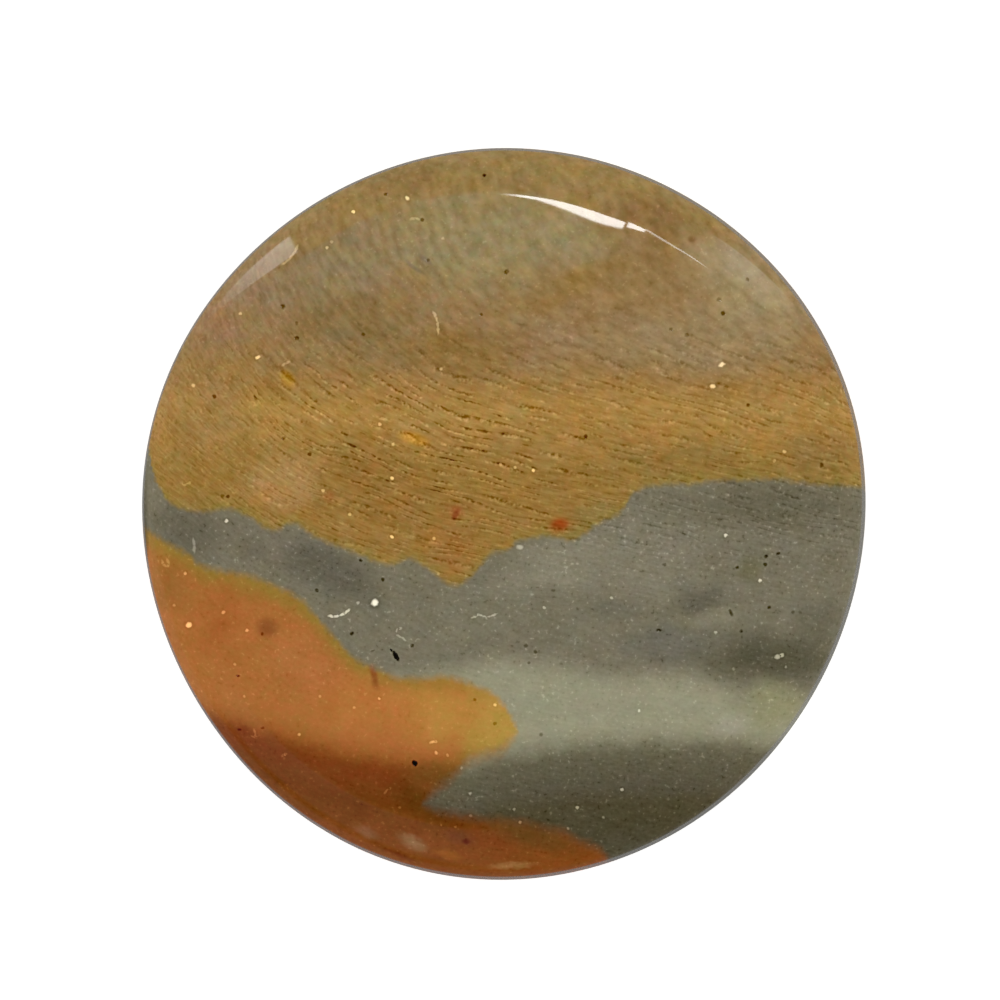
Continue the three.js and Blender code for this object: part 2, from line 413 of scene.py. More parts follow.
# Soft patches in each layer: name, middle, half sizes, turn in degrees, colour, strength
OCHRE_PATCHES = (
    ("brown under the top rim", (6.6, 13.2), (4.2, 2), -30, "#8f7147", 0.6),
    ("brown rim, left", (-4.8, 16.5), (3.8, 1.3), 10, "#8b6f40", 0.7),
    ("red-brown rim", (7.2, 14.7), (3.2, 1.5), -28, "#87663c", 0.75),
    # Painted sheen: paleness where the right window's reflection spreads over the dome
    ("painted sheen by the right window", (9.8, 12.5), (1.6, 1), -40, "#aa9370", 0.7),
    ("olive-gold streak", (3.7, 12), (1.7, 0.5), 45, "#937a38", 0.7),
    ("pale corner", (12.4, 10.8), (4.5, 3.6), -45, "#a08d66", 0.9),
    ("pale tan field", (9.5, 8.4), (7, 2.4), 0, "#99825c", 0.8),
    ("mauve haze", (2.2, 8.6), (3.4, 2), 0, "#967a55", 0.7),
    ("brown diagonal", (3.2, 11.4), (4.4, 1.2), 30, "#92713c", 0.8),
    ("olive hollow", (-7.6, 9.4), (5.2, 2.6), -15, "#866e43", 0.9),
    ("brown hollow", (-2, 8), (4.2, 1.8), 0, "#8c6c3a", 0.9),
    ("grey-mauve left", (-12.2, 11.4), (3, 3.4), 45, "#937857", 0.8),
    ("pink-tan left", (-14.6, 9.2), (2.2, 2.6), 60, "#9a7553", 0.8),
    ("ochre left edge", (-15.2, 5.6), (3.4, 4), 15, "#9e7b47", 0.7),
    ("pale over the seam", (-10.8, 1.6), (3, 2), 15, "#aa8550", 0.9),
    ("deep ochre", (-6, 1.2), (4.6, 2.4), -15, "#946e35", 0.9),
    ("deep ochre, right", (9, 2.4), (6.5, 1.3), 0, "#8f7139", 0.9),
    ("brown right end", (15.8, 2.6), (3.2, 1.8), 0, "#876a3c", 0.6),
    ("orange lobe", (-2.8, -1.6), (1.7, 2), 0, "#9b6e38", 0.8),
    ("olive over the seam", (3.8, -0.2), (2.4, 1.2), 30, "#8d7642", 0.7),
)
OCHRE_FLECKS = (
    ("orange fleck", (-10.6, 6.6), (0.5, 0.7), 30, "#b5822f", 0.9),
    ("orange flecks", (-4.4, 3.7), (1.1, 0.45), -15, "#ba8530", 0.9),
    ("brown spot by the rim", (9.25, 13.5), (0.32, 0.26), 0, "#74552c", 0.8),
    ("red round the spot", (2.7, -0.55), (0.9, 0.65), 15, "#a0622b", 0.8),
    ("red spot", (2.7, -0.55), (0.6, 0.42), 15, "#933a08", 0.9),
    ("red fleck", (-2.35, 0), (0.2, 0.45), -30, "#6e2f14", 1),
    ("red round it", (-2.3, 0.1), (0.5, 0.6), -30, "#9a5a2c", 0.6),
    ("red tint", (-8.6, 0.85), (0.4, 0.5), 0, "#a0602c", 0.45),
)
# These end at the dome's edge
DOME_PATCHES = (
    ("green-grey cloud", (-1.4, 13.6), (7, 4.2), 0, "#97865e", 0.9),
    ("cloud's right end", (3.4, 13.8), (3, 1.6), -15, "#9a8a62", 0.7),
    ("cloud's left end", (-8.2, 12.8), (4.4, 3.2), 30, "#907c59", 0.9),
    ("dark streak", (-4.4, 12.2), (1, 0.2), -45, "#7c6a50", 0.8),
    ("dark streak, right", (-3.8, 12.5), (0.8, 0.18), -45, "#7c6a50", 0.7),
    ("dark streak, left", (-5.4, 11.7), (0.8, 0.2), -60, "#80694a", 0.6),
)
OCHRE_EDGE_TINT = "#8d7a3d"
GREY = "#77715d"
GREY_LIT = "#969379"
# The grey's colours under the painted shade of the dark band, by how far under its edge
GREY_SHADED = (
    (0, "#6a654f"), (1, "#605b47"), (2.2, "#585240"), (3, "#4e4731"), (4.2, "#4b4530"),
    (5.5, "#4d4836"),
)
LIT_PATCHES = (
    ("yellowish end", (13.6, -9.6), (3, 1.8), 0, "#8f8c69", 0.9),
    # Painted reflection: a pale pinkish patch
    ("painted pinkish reflection", (11.1, -10.4), (1.3, 0.8), 15, "#a09b86", 0.8),
)
GREY_PATCHES = (
    ("dark under the seam, right", (13.6, 0.4), (7, 1.7), 0, "#69634f", 1),
    ("warm left end", (-15.6, -0.8), (2.6, 2.4), -15, "#676150", 0.9),
    ("purple-grey left", (-11.8, -1.8), (2.6, 1.3), -15, "#716a59", 0.7),
    ("dark left middle", (-8.4, -2.8), (3.6, 1.7), -30, "#635e4f", 1),
    ("light under the lobe", (2.8, -2.4), (4.4, 2), 15, "#87816c", 1),
    ("light right of it", (6.6, -2.2), (4.6, 2.8), 0, "#817b67", 0.9),
    ("light middle", (-1.6, -5), (5, 1.4), 0, "#7b7661", 0.6),
    ("warm grey, right", (11.5, -2.8), (4.5, 2), 0, "#77715d", 0.7),
    ("dark right end", (15.9, -5.6), (2.2, 1.7), 0, "#64604e", 0.8),
    ("greenish tint", (11.9, -2.7), (1.1, 0.7), 0, "#6b664a", 0.7),
    ("dark blotch", (9.5, -4.1), (1.9, 1.1), 15, "#666151", 0.9),
    ("dark blotch, left", (5.4, -4.6), (1.8, 0.8), 0, "#6d6958", 0.7),
    ("light blotch", (10.4, -5.2), (1.5, 0.9), 0, "#807b67", 0.9),
    ("dark before the light band", (13.8, -7.2), (6.2, 2.1), 0, "#56523f", 1),
    ("dark before the light band, middle", (8, -6.4), (3.4, 1.3), 0, "#69665a", 0.8),
)
ORANGE = "#a96a34"
ORANGE_EDGE = "#957431"
# The orange's colours under the painted shade of the dark band, by how far under its edge
ORANGE_SHADED = (
    (0, "#884b1b"), (0.5, "#7d4017"), (1, "#783b16"), (1.8, "#733d15"), (2.5, "#6c390e"),
    (3.2, "#733e12"), (3.9, "#7b4218"), (5.5, "#7e4518"),
)
ORANGE_PATCHES = (
    ("yellow tongue", (-0.4, -10.3), (2.8, 2.4), 0, "#b28c42", 1),
    ("yellow tongue, inner", (-3.4, -9.7), (3.6, 2.2), 0, "#b8843e", 0.9),
    ("bright middle", (-6.6, -9.4), (4.2, 2), -15, "#b57339", 0.9),
    ("pinkish middle", (-9.6, -7.4), (2.6, 2.2), -30, "#ae6d3a", 0.8),
    ("brown stain", (-11.7, -5.6), (0.9, 0.75), 0, "#8b5127", 0.85),
    ("red tint", (-14.1, -5.5), (0.5, 0.9), 0, "#9a4a1c", 0.75),
    ("deep orange left", (-14, -5.2), (1.6, 2.4), 0, "#a4612e", 0.8),
    ("brown left end", (-16.5, -3.6), (1.6, 2.3), 15, "#96642f", 0.8),
    ("short brown streak", (-6.3, -8), (0.3, 1), 0, "#8d4e22", 0.9),
)
# These lie in the dark band, in colours darkened by its painted shade
SHADED_ORANGE_PATCHES = (
    ("olive-brown under the tongue", (-3.3, -12.9), (2.3, 1.2), 0, "#6e4a1c", 0.7),
    ("dark brown beside the grey", (-4.1, -14.2), (2.5, 1), -30, "#5c350a", 0.8),
    ("olive-brown under the grey", (1.6, -15.9), (3.6, 0.9), -15, "#63431a", 0.8),
    ("red-brown spot, left", (-12.8, -10.7), (0.6, 0.4), 0, "#74330f", 0.8),
    ("cream smear, left", (-6.75, -15.65), (0.9, 0.45), -25, "#85593a", 0.7),
    ("cream smear", (-4.5, -16.15), (1.15, 0.5), -28, "#8f6c48", 0.8),
    ("orange smear", (-2.7, -16.8), (1.1, 0.4), -15, "#93581f", 0.8),
    ("dark red rim", (-5.3, -16.75), (1.7, 0.25), -24, "#5f2409", 0.7),
    ("brown round the spot", (-2.2, -15.9), (1.2, 0.5), -15, "#6b3a22", 0.6),
    ("dark red spot", (-1.85, -16.1), (0.3, 0.22), 0, "#581c0b", 0.9),
    ("yellowish smear", (0.4, -17.35), (1.8, 0.3), 3, "#9c7040", 0.8),
)
# Painted shade: a dark line along the stone's left edge, over all layers
PAINTED_EDGE_SHADE = (
    ("painted shade on the left edge", (-17.75, -1.3), (0.35, 5.5), 0, "#2e2c17", 0.8),
)

# The grain of the ochre sweeps down from left to right. One of its lines lies wherever the sum of
# two rises is the same: one for the place across the stone, one for the place up it
GRAIN_ACROSS = (
    (-18, -13.7), (-15.5, -10.7), (-12.9, -7.65), (-10, -4.95), (-7, -2.9), (-4.1, -1.3), (-1.1, 0),
    (5, 2.2), (10.6, 4.2), (18, 6.9),
)
GRAIN_UP = (
    (-18, -18), (-6, -18), (-3, -13.3), (0, -8.5), (2.6, -4.65), (4.5, -2.2), (6.5, 0), (9, 2.05),
    (12, 3.65), (15, 4.75), (18, 5.7),
)
# Below this height the second rise goes on evenly
GRAIN_BOTTOM = -6.0
BOTTOM_RISE = 1.57
GRAIN_SPACING = 0.52
GRAIN_WAY = (0.8, -0.6, 0.0)
GRAIN_WANDER = 15.0
# The bright edge lies this far round from the dark line, where 2 pi is the line spacing
BRIGHT_SIDE = 1.4
# Noise scales per millimetre along the sweep, across it and down, and of the round grains
WANDER_SCALE = (0.3, 0.7, 0.5)
DASH_SCALE = (0.9, 1.9, 0.5)
FIBRE_SCALE = (1.4, 4.2, 2.0)
FINE_SCALE = 5.5
CLOUD_SCALE = 0.9
# Where the lines fade out: upwards in the ochre, to its left, and in the grey by place
OCHRE_LINES_UP = (11.0, 5.5)
OCHRE_LINES_LEFT = (-17.0, -8.0)
GREY_LINES_UNDER = (0.2, -0.2)
GREY_LINES_ACROSS = (-1.0, 6.0)
GREY_LINES_UP = (-4.2, 0.3)
# Which part of each wave a line takes, how much of it its dashes leave, and how the grains bead it
LINE_FADE = (0.1, 1.0)
DASHED = (0.37, 0.61)
DARK_BEADS = (0.72, 0.32)
BRIGHT_BEADS = (0.32, 0.72)
# Where the ochre's lines are strongest (middle, half sizes and turn) and how they fade out of there;
# and how strong they are elsewhere, at the left end and in the grey
GRAIN_HEART = ((-3.5, 3.8), (8.5, 4.0), -15)
HEART_FADE = (1.2, 0.3)
FAINT_GRAIN = 0.55
FAINTEST_GRAIN = 0.25
GREY_LINE = 0.45
# How strong the light and dark is. A step of 0.1 is about 11 levels of 255 in the picture
DARK_LINE = 0.38
BRIGHT_LINE = 0.36
CLOUDS = 0.2
# The grains that glint and the fine pits: from and to which value of the fine noise, and how strong
GLINTS = (0.64, 0.8, 1.3)
FINE_PITS = (0.34, 0.22, -0.6)
# In each layer: the fine grain, the fibres along the sweep, and the warmer and cooler patches
OCHRE_GRAIN = (0.11, 0.44, 2.2)
GREY_GRAIN = (0.22, 0.18, 0.8)
ORANGE_GRAIN = (0.13, 0.09, 0.4)
# The grain is this much fainter in the light band
LIT_GRAIN = 0.65
# A step this power of the colour looks as large in a light colour as in a dark one
EVEN_TO_THE_EYE = 0.62
WARMTH = (0.12, 0.0, -0.35)
PINKNESS = (0.45, -0.28, 0.25)
FINE_MOTTLE = 0.4
MOTTLE = 0.55
GREY_MOTTLE = 0.4
# The patches are fainter in the tan field: its middle, half sizes and turn, and how faint
CALM_FIELD = ((8.5, 9.5), (9.5, 4.5), 0)
CALM_MOTTLE = 0.6
CALM_FADE = (1.2, 0.4)
# How far the clouds move the edge of the painted shade, and how strong the rings round the marks are
PAINTED_SHADE_BLOTCHES = 1.4
MARK_RING = 0.05
# The polish, and the ground back up to a height
POLISHED_ROUGHNESS = 0.02
GROUND_ROUGHNESS = 0.35
GROUND = 0.015
PIT_BLACK = (0.004, 0.003, 0.002)
PIT_DEPTH = 0.03
QUARTZ_IOR = 1.54

# Small marks on the crown: the middle, then half the size of a round one unless it is the usual one,
# or the half length, half width and turn of an oval one
USUAL_MARK = 0.08
# Pale quartz specks and dust
FAINT_SPECKS = (
    (13.29, 2.61), (11.28, -7.6), (-2.76, -11.82), (-2.08, -12.46), (-2.98, 13.53), (-3.21, -2.94),
    (-8.46, 13.37), (-16.22, -4.48), (-13.2, -7.38), (-12.75, -8.95), (-9.02, -8.95),
    (-7.35, -9.49), (-1.64, -14.82), (-2.37, -15.36), (-3.06, -15.26), (-5.12, -14.43),
    (-0.16, 2.44),
)
SPECKS = (
    (-15.65, -2.92, 0.09), (-13.78, -4.83, 0.09), (-12.6, -5.71), (-10.05, -10.82, 0.09),
    (-10.74, -11.8), (-12.21, -10.92), (-8.8, -12.95, 0.15, 0.07, -30), (-6.12, -9.05),
    (-7.15, -4.34), (-7.55, -0.02), (-3.42, -1.2), (-6.07, 4.4, 0.09), (-5.43, 3.42, 0.09),
    (-8.87, 1.16, 0.09), (-3.08, 7.1, 0.09), (13.76, 3.07, 0.09), (17.1, 2.88), (10.38, -5.81),
    (6.64, -9.64), (0.8, -15.14), (0.51, -14.5), (3.16, -15.44), (4.88, -14.9), (5.27, -4.1),
    (-0.43, -9.35), (-3.5, -11.18, 0.17, 0.07, 0), (-3.32, -11.71, 0.09), (-1.66, -13.72, 0.09),
    (-8.68, 13.09), (-12.95, 9.85), (-15.26, 6.31, 0.09), (1.98, -4.59),
    (0.77, -1.61, 0.17, 0.12, 0), (0.55, 2.29), (13.86, -7.53),
)
BRIGHT_SPECKS = (
    (-5.48, -1.1, 0.09), (-5.48, 1.75, 0.09), (1.44, 2.14, 0.09), (10.69, 7.33, 0.17, 0.11, 30),
    (10.87, -1.05, 0.09), (12.58, -3.26, 0.09), (5.81, -13.52, 0.09), (3.6, -14.41, 0.09),
    (-7.4, 14.86, 0.09), (-4.75, 15.52, 0.13, 0.1, 110), (13.44, -7.01, 0.14, 0.12, 10),
    (13.64, -6.94, 0.13, 0.1, 30), (-15.48, -5.46, 0.15, 0.13, 0), (-13.61, -0.34, 0.09),
    (-12.09, 7.69, 0.14, 0.09, 30), (10.25, 6.27, 0.15, 0.11, 0),
)
DUST = (
    (-6.32, -4.34, 0.17),
)
# Open pits
DEEP_PITS = (
    (-5.3, -6.94, 0.29, 0.11, -58), (-5.49, -6.69, 0.14, 0.06, -50),
    (-4.37, -12.22, 0.16, 0.13, -50),
)
PITS = (
    (-9.17, -3.74, 0.11), (-7.46, -5.85, 0.1), (-5.94, -3.2, 0.1), (-7.01, -2.27, 0.1, 0.08, 0),
    (-4.5, -6.44, 0.1), (-13.55, 0.86, 0.1), (-10.8, 3.72, 0.1), (-10.16, 8.63, 0.12),
    (-14.23, 5.78, 0.11), (-9.52, 2.94, 0.11), (12.87, -2.07, 0.12, 0.1, 90), (12.83, -2.47, 0.1),
    (13.47, -1.93, 0.12, 0.08, 30), (11.45, -2.61, 0.1), (7.6, -5.69, 0.16, 0.08, 0),
    (11.13, -4.83, 0.2, 0.09, -60), (13.03, -4.58, 0.1), (15.62, 2.4, 0.12), (10.76, 9.86, 0.12),
    (12.06, 12.82, 0.12), (11.97, 5.34, 0.11), (4.02, 3.82, 0.1), (-10.85, 10.19, 0.13),
    (0.13, 11.89, 0.16, 0.12, 60), (-0.97, 16.65, 0.1), (-5.8, 15.73, 0.1), (-4.02, 14.46, 0.1),
    (-13.05, -7.94, 0.1, 0.08, 0),
)
FAINT_PITS = (
    (-6.42, -6.69, 0.12, 0.08, 30), (-13.81, 0.89, 0.11), (-12.19, 5.71, 0.16, 0.08, -60),
    (-1.42, -9.09, 0.09), (-0.44, -10.27, 0.1), (1.82, -10.81, 0.1), (1.09, -6.45, 0.11),
    (1.54, -6.74, 0.1), (1.23, -7.28, 0.09), (14.2, -4.82, 0.1), (11.64, -5.75, 0.1),
    (10.56, 10.55, 0.12), (11.97, 11.53, 0.1), (8.98, 8.78, 0.12), (8.21, 9.05, 0.11),
    (-10.16, 9.37, 0.1), (-3.72, 12.46, 0.1), (-1.11, 9.78, 0.09), (-6.89, 8.81, 0.1),
    (7.86, -2.47, 0.09), (-11.85, -10.5, 0.1, 0.08, 0), (-11.85, -5.88, 0.1, 0.08, 0),
    (-13, -10.62, 0.1, 0.08, 0),
)
# Short pale fibres, and a painted highlight on the dome's edge: how light, half width, and the
# points they run through
FIBRES_AND_EDGE_HIGHLIGHT = (
    # The first is a faint painted highlight along the lower left of the dome's edge
    (0.05, 0.12, ((-8.8, -12.95), (-7.77, -13.59), (-6.64, -14.18), (-5.46, -14.67),
                  (-4.29, -15.01), (-3.21, -15.21))),
    (0.52, 0.072, ((-10.13, 13.17), (-10.28, 12.87), (-10.57, 12.48), (-10.87, 12.28))),
    (1.6, 0.066, ((-8.56, -5), (-8.31, -5.02), (-8.02, -4.97), (-7.77, -4.85), (-7.58, -4.68))),
    (0.57, 0.06, ((-5.02, -5.59), (-5.22, -5.64), (-5.29, -5.78), (-5.22, -5.93), (-5.02, -6.05),
                  (-4.83, -6.18))),
    (0.69, 0.06, ((-1.54, -5.07), (-1.24, -4.92), (-1.05, -4.97), (-0.85, -5.1), (-0.65, -5),
                  (-0.36, -4.9))),
    (0.63, 0.072, ((-3.45, 9.88), (-3.35, 9.68), (-3.26, 9.44), (-3.23, 9.14), (-3.21, 8.85))),
    (0.4, 0.06, ((-12.29, -10.6), (-12.19, -10.79), (-12.24, -10.99), (-12.39, -10.91))),
    (0.34, 0.072, ((-10.91, -11.92), (-10.82, -11.82), (-10.67, -11.77))),
    (0.4, 0.06, ((-5.86, -13.69), (-5.71, -13.54), (-5.56, -13.44))),
    (0.57, 0.072, ((-3.65, -11.23), (-3.5, -11.16), (-3.3, -11.16))),
    (0.46, 0.072, ((-10.87, 7.28), (-10.72, 7.4), (-10.52, 7.47))),
    (0.4, 0.072, ((-15.78, 1.48), (-15.63, 1.41), (-15.48, 1.48), (-15.38, 1.58))),
    (0.34, 0.072, ((-16.81, -2.3), (-16.76, -2.49), (-16.56, -2.59), (-16.46, -2.45),
                   (-16.56, -2.2))),
    (0.4, 0.072, ((-4.58, 14.49), (-4.34, 14.52), (-4.14, 14.47))),
    (0.57, 0.072, ((-15.24, -1.22), (-15.21, -1.56), (-15.21, -1.86))),
)


def oval_reach(add, frames, middle, halves, turn, depth):
    """How far out of an oval mark's middle a place is: nothing there, 1 at the mark's edge. frames
    keeps the place turned by each angle in use, so that the marks of one angle share it."""
    if turn not in frames:
        frames[turn] = add("VectorRotate", {"Vector": frames[0], "Angle": -np.radians(turn)},
                           rotation_type="Z_AXIS")
    cos, sin = np.cos(np.radians(turn)), np.sin(np.radians(turn))
    own = np.array((cos * middle[0] + sin * middle[1], cos * middle[1] - sin * middle[0],
                    CROWN_HEIGHT))
    share = 1 / np.array((*halves, depth))
    out = add("VectorMath MULTIPLY_ADD", (frames[turn], tuple(share), tuple(-own * share)))
    return add("VectorMath LENGTH", (out,), "Value")


def soft_patches(add, place, colour, patches, depth=PATTERN_DEPTH):
    """Lays round or oval patches over a colour. Each is full in its core and gone at its edge, and
    thins out with depth, since the pattern changes from layer to layer down the stone's wall."""
    frames = {0: place}
    for _, middle, halves, turn, tint, strength in patches:
        reach = oval_reach(add, frames, middle, halves, turn, depth)
        cover = rise(add, reach, 1.0, PATCH_CORE, strength)
        colour = add("Mix", {0: cover, 6: colour, 7: linear(tint)}, 2, data_type="RGBA")
    return colour


def along_curve(add, across, points):
    """The height in millimetres of a line drawn over the stone, by how far across the stone it
    is."""
    height = add("FloatCurve", {"Value": across})
    curve = height.node.mapping
    knots = curve.curves[0].points
    shares = [[(value + HALF_SPAN) / (2 * HALF_SPAN) for value in point] for point in points]
    knots[0].location, knots[-1].location = shares[0], shares[-1]
    for share in shares[1:-1]:
        knots.new(*share)
    curve.update()
    return add("MapRange", {"Value": height, "To Min": -HALF_SPAN, "To Max": HALF_SPAN})


def along_stops(add, value, stops):
    """The colour for a value in millimetres, blended between (value, colour) stops."""
    first, last = stops[0][0], stops[-1][0]
    share = add("MapRange", {"Value": value, "From Min": first, "From Max": last})
    colour = add("ValToRGB", {"Fac": share})
    elements = colour.node.color_ramp.elements
    elements[0].color, elements[1].color = linear(stops[0][1]), linear(stops[-1][1])
    for at, tint in stops[1:-1]:
        elements.new((at - first) / (last - first)).color = linear(tint)
    return colour


def rise(add, value, low, high, top=1.0):
    """A share that rises smoothly from nothing at one value to its top at another."""
    return add("MapRange", {"Value": value, "From Min": low, "From Max": high, "To Max": top},
               interpolation_type="SMOOTHSTEP")


def drifted(add, place, scale, reach, detail=1.0):
    """A place pushed about by slow noise, up to about half its reach each way."""
    noise = add("TexNoise", {"Vector": place, "Scale": scale, "Detail": detail}, 1)
    push = add("VectorMath SUBTRACT", (noise, (0.5, 0.5, 0.5)))
    push = add("VectorMath SCALE", {0: push, "Scale": reach})
    return add("VectorMath ADD", (place, push))


def jasper():
    """Polished polychrome jasper: ochre, grey and orange layers of fine quartz grains, with soft
    clouds, short dark grain lines, pale quartz specks and small open pits under a wet-looking gloss.
    Everything is laid out in millimetres on the stone."""
    material = bpy.data.materials.new("jasper_polychrome_polished")
    material.use_nodes = True
    tree = material.node_tree
    tree.nodes.clear()
    add = partial(add_node, tree)

    # On the crown the layers lie as measured; down the wall and on the back they drift away
    metres = add("TexCoord", out="Object")
    level = add("VectorMath SCALE", {0: metres, "Scale": 1 / MM})
    height = add("SeparateXYZ", (level,), "Z")
    below = add("MapRange", {"Value": height, "From Min": DRIFT_START, "From Max": 0.0})
    below = add("Math POWER", (below, 2.0))
    below = add("Math MULTIPLY", (below, DRIFT))
    place = drifted(add, level, DRIFT_SCALE, below)
    x, y = (add("SeparateXYZ", (place,), axis) for axis in "XY")

    # Clouds a millimetre or two across, and smaller mottling, each about nothing on average
    clouds = add("TexNoise", {"Vector": place, "Scale": CLOUD_SCALE, "Detail": 3.0,
                              "Roughness": 0.7}, 1)
    clouds = add("VectorMath SUBTRACT", (clouds, (0.5, 0.5, 0.5)))
    cloud, warm, pink = (add("SeparateXYZ", (clouds,), axis) for axis in "XYZ")

    # The edges of the layers are fretted by the grains
    fretted = drifted(add, place, FRET_SCALE, FRET)
    edge_x, edge_y = (add("SeparateXYZ", (fretted,), axis) for axis in "XY")
    across, up = (add("MapRange", {"Value": value, "From Min": -HALF_SPAN, "From Max": HALF_SPAN})
                  for value in (edge_x, y))
    ochre_edge, orange_top, underside, lower_top, light_top, dark_top = (
        along_curve(add, across, line) for line in
        (OCHRE_EDGE, ORANGE_TOP, TONGUE_UNDERSIDE, LOWER_ORANGE_TOP, LIGHT_BAND_TOP, PAINTED_SHADE_TOP))

    above_seam = add("Math SUBTRACT", (edge_y, ochre_edge))
    under_top = add("Math SUBTRACT", (orange_top, edge_y))
    over_grey = add("Math SUBTRACT", (edge_y, underside))
    in_lower = add("Math SUBTRACT", (lower_top, edge_y))
    into_orange = add("Math MINIMUM", (under_top, over_grey))
    into_orange = add("Math MAXIMUM", (into_orange, in_lower))
    ochre_share = rise(add, above_seam, *OCHRE_FADE)
    tongue = add("Math MULTIPLY", (rise(add, under_top, *ORANGE_TOP_FADE),
                                   rise(add, over_grey, *UNDERSIDE_FADE)))
    orange_share = add("Math MAXIMUM", (tongue, rise(add, in_lower, *LOWER_ORANGE_FADE)))
    under_light = add("Math SUBTRACT", (light_top, y))
    lit = rise(add, under_light, *LIGHT_BAND_FADE)
    # The dark band is painted shade: dark is how much of it lies on a place
    under_dark = add("Math SUBTRACT", (dark_top, y))
    under_dark = add("Math MULTIPLY_ADD", (cloud, PAINTED_SHADE_BLOTCHES, under_dark))
    dark = rise(add, under_dark, *PAINTED_SHADE_FADE)

    # Ochre: bands with soft clouds in them, and an olive seam
    waved = drifted(add, place, *WAVED)
    ochre = along_stops(add, add("SeparateXYZ", (waved,), "Y"), OCHRE_BANDS)
    ochre = soft_patches(add, waved, ochre, OCHRE_PATCHES)
    ochre = soft_patches(add, place, ochre, OCHRE_FLECKS)
    clouded = soft_patches(add, waved, ochre, DOME_PATCHES)
    on_dome = rise(add, height, *DOME_EDGE_HEIGHTS)
    ochre = add("Mix", {0: on_dome, 6: ochre, 7: clouded}, 2, data_type="RGBA")
    ochre = add("Mix", {0: rise(add, above_seam, *TINT_FADE), 6: ochre, 7: linear(OCHRE_EDGE_TINT)},
                2, data_type="RGBA")

    # Grey: clouded, pale in the light band and darkened by painted shade in the dark one
    grey = soft_patches(add, waved, linear(GREY), GREY_PATCHES)
    grey = add("Mix", {0: lit, 6: grey, 7: linear(GREY_LIT)}, 2, data_type="RGBA")
    grey = soft_patches(add, waved, grey, LIT_PATCHES)
    grey = add("Mix", {0: dark, 6: grey, 7: along_stops(add, under_dark, GREY_SHADED)}, 2,
               data_type="RGBA")

    # Orange: yellow where it thins out towards its edges, darkened by painted shade in the dark band
    orange = add("Mix", {0: rise(add, into_orange, *YELLOW_FADE), 6: linear(ORANGE_EDGE),
                         7: linear(ORANGE)}, 2, data_type="RGBA")
    orange = soft_patches(add, waved, orange, ORANGE_PATCHES)
    orange = add("Mix", {0: dark, 6: orange, 7: along_stops(add, under_dark, ORANGE_SHADED)}, 2,
                 data_type="RGBA")
    orange = soft_patches(add, fretted, orange, SHADED_ORANGE_PATCHES)
    colour = add("Mix", {0: ochre_share, 6: grey, 7: ochre}, 2, data_type="RGBA")
    colour = add("Mix", {0: orange_share, 6: colour, 7: orange}, 2, data_type="RGBA")
    # A dark line of painted shade along the left edge
    colour = soft_patches(add, level, colour, PAINTED_EDGE_SHADE, EDGE_SHADE_DEPTH)

    # Grain lines: beaded dark dashes with a bright edge, in rows along the sweep
    row = add("Math ADD", (along_curve(add, across, GRAIN_ACROSS), along_curve(add, up, GRAIN_UP)))
    lower = add("Math MINIMUM", (y, GRAIN_BOTTOM))
    lower = add("Math MULTIPLY_ADD", (lower, BOTTOM_RISE, -GRAIN_BOTTOM * BOTTOM_RISE))
    row = add("Math ADD", (row, lower))
    along = add("VectorMath DOT_PRODUCT", (place, GRAIN_WAY), "Value")
    sweep = add("CombineXYZ", (along, row, height))
    wander, dashes, fibres = (
        add("TexNoise", {"Vector": add("VectorMath MULTIPLY", (sweep, scale)), "Scale": 1.0,
                         "Detail": detail})
        for scale, detail in ((WANDER_SCALE, 0.0), (DASH_SCALE, 1.0), (FIBRE_SCALE, 1.0)))
    fine = add("TexNoise", {"Vector": place, "Scale": FINE_SCALE, "Detail": 1.0})
    turns = add("Math MULTIPLY", (wander, GRAIN_WANDER))
    turns = add("Math MULTIPLY_ADD", (row, 2 * np.pi / GRAIN_SPACING, turns))
    lines = add("Math SINE", (turns,))
    beside = add("Math SINE", (add("Math ADD", (turns, BRIGHT_SIDE)),))
    in_ochre = add("Math MULTIPLY", (ochre_share, rise(add, y, *OCHRE_LINES_UP)))
    heart = oval_reach(add, {0: place}, *GRAIN_HEART, PATTERN_DEPTH)
    faint = add("MapRange", {"Value": x, "From Min": OCHRE_LINES_LEFT[0],
                             "From Max": OCHRE_LINES_LEFT[1], "To Min": FAINTEST_GRAIN,
                             "To Max": FAINT_GRAIN})
    strength = add("MapRange", {"Value": rise(add, heart, *HEART_FADE), "To Min": faint,
                                "To Max": 1.0})
    in_ochre = add("Math MULTIPLY", (in_ochre, strength))
    # The lines run on faintly into the grey under the seam, to the right
    in_grey = add("Math MULTIPLY", (rise(add, above_seam, *GREY_LINES_UNDER, GREY_LINE),
                                    rise(add, x, *GREY_LINES_ACROSS)))
    in_grey = add("Math MULTIPLY", (in_grey, rise(add, y, *GREY_LINES_UP)))
    strength = add("Math ADD", (in_ochre, in_grey))
    strength = add("Math MULTIPLY", (strength, rise(add, dashes, *DASHED)))
    dark_line = add("Math MULTIPLY", (rise(add, lines, *LINE_FADE, -DARK_LINE),
                                      rise(add, fine, *DARK_BEADS)))
    bright_line = add("Math MULTIPLY", (rise(add, beside, *LINE_FADE, BRIGHT_LINE),
                                        rise(add, fine, *BRIGHT_BEADS)))
    lined = add("Math ADD", (dark_line, bright_line))
    lined = add("Math MULTIPLY", (lined, strength))

